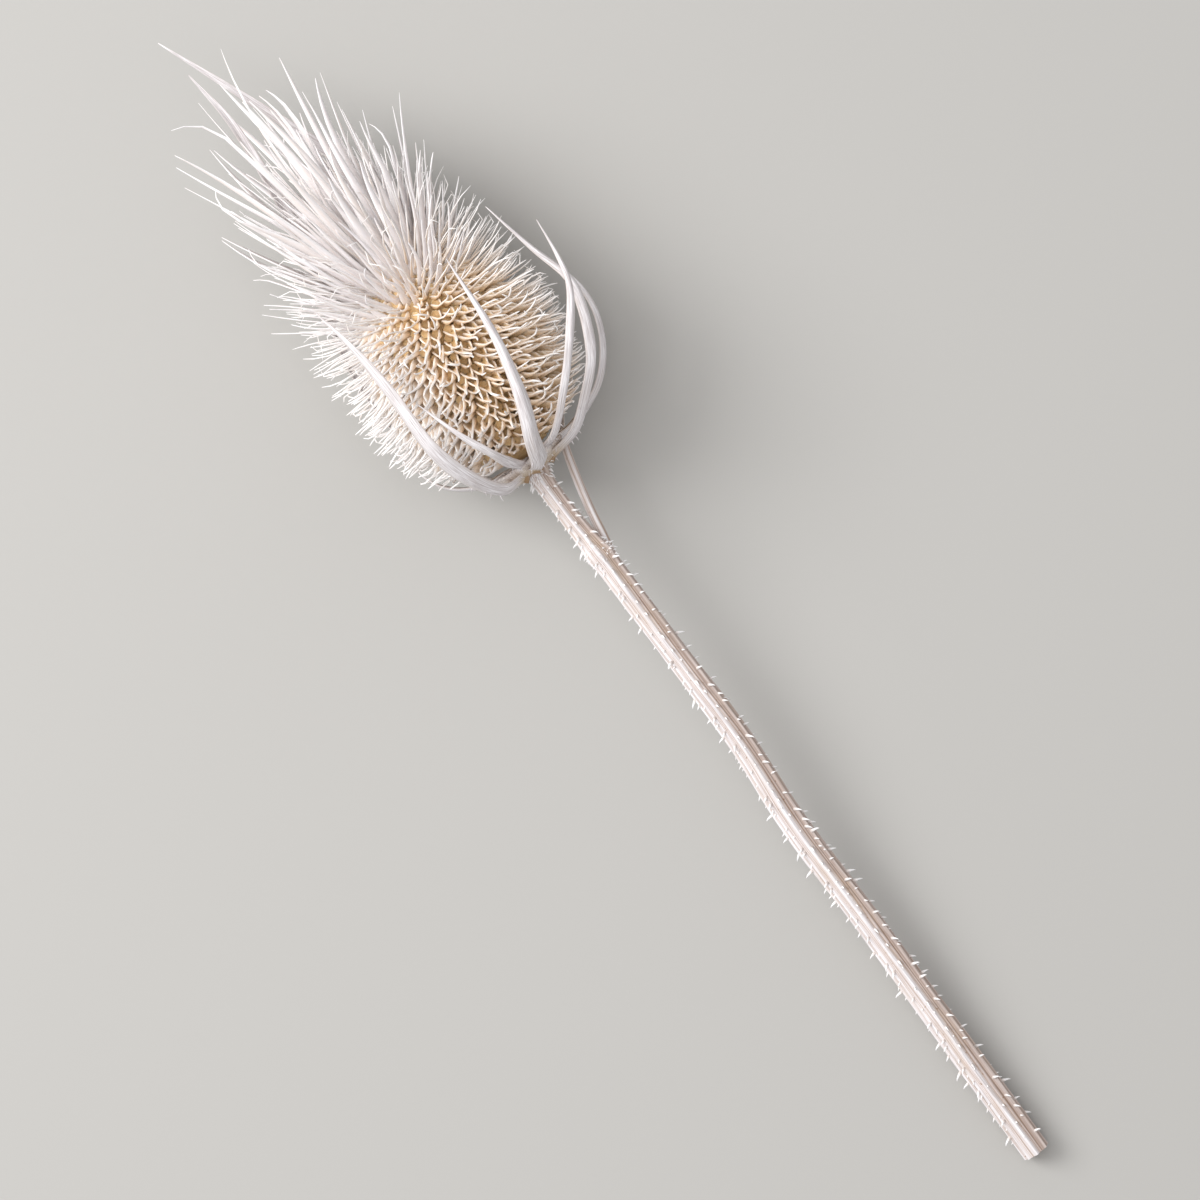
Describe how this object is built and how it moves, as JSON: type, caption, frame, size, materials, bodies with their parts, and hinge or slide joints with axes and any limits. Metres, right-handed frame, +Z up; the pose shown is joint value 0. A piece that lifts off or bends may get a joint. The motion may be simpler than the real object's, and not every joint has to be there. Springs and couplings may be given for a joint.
{
  "type": "teasel seed head",
  "caption": "Dried, bleached teasel seed head with curved bracts, picked with a prickly ribbed stem and lying on its side for display.",
  "frame": {"origin": "on the surface that the teasel lies on, under the middle of its bounding box", "axes": "+X runs along the stem from the head to the cut end, so the head's tip points to -X; +Z is up, away from the surface; +Y completes the right-handed frame"},
  "size_m": [0.2597, 0.0534, 0.046],
  "materials": {
    "stem_straw": "matte",
    "head_cream": "matte",
    "bract_white": "matte"
  },
  "bodies": {
    "root": {"stem": "stem_straw", "seed_head": "head_cream", "bract_01": "bract_white", "bract_02": "bract_white", "bract_03": "bract_white", "bract_04": "bract_white", "bract_05": "bract_white", "bract_06": "bract_white", "bract_07": "bract_white", "bract_08": "bract_white", "bract_09": "bract_white", "bract_10": "bract_white"}
  },
  "joints": []
}
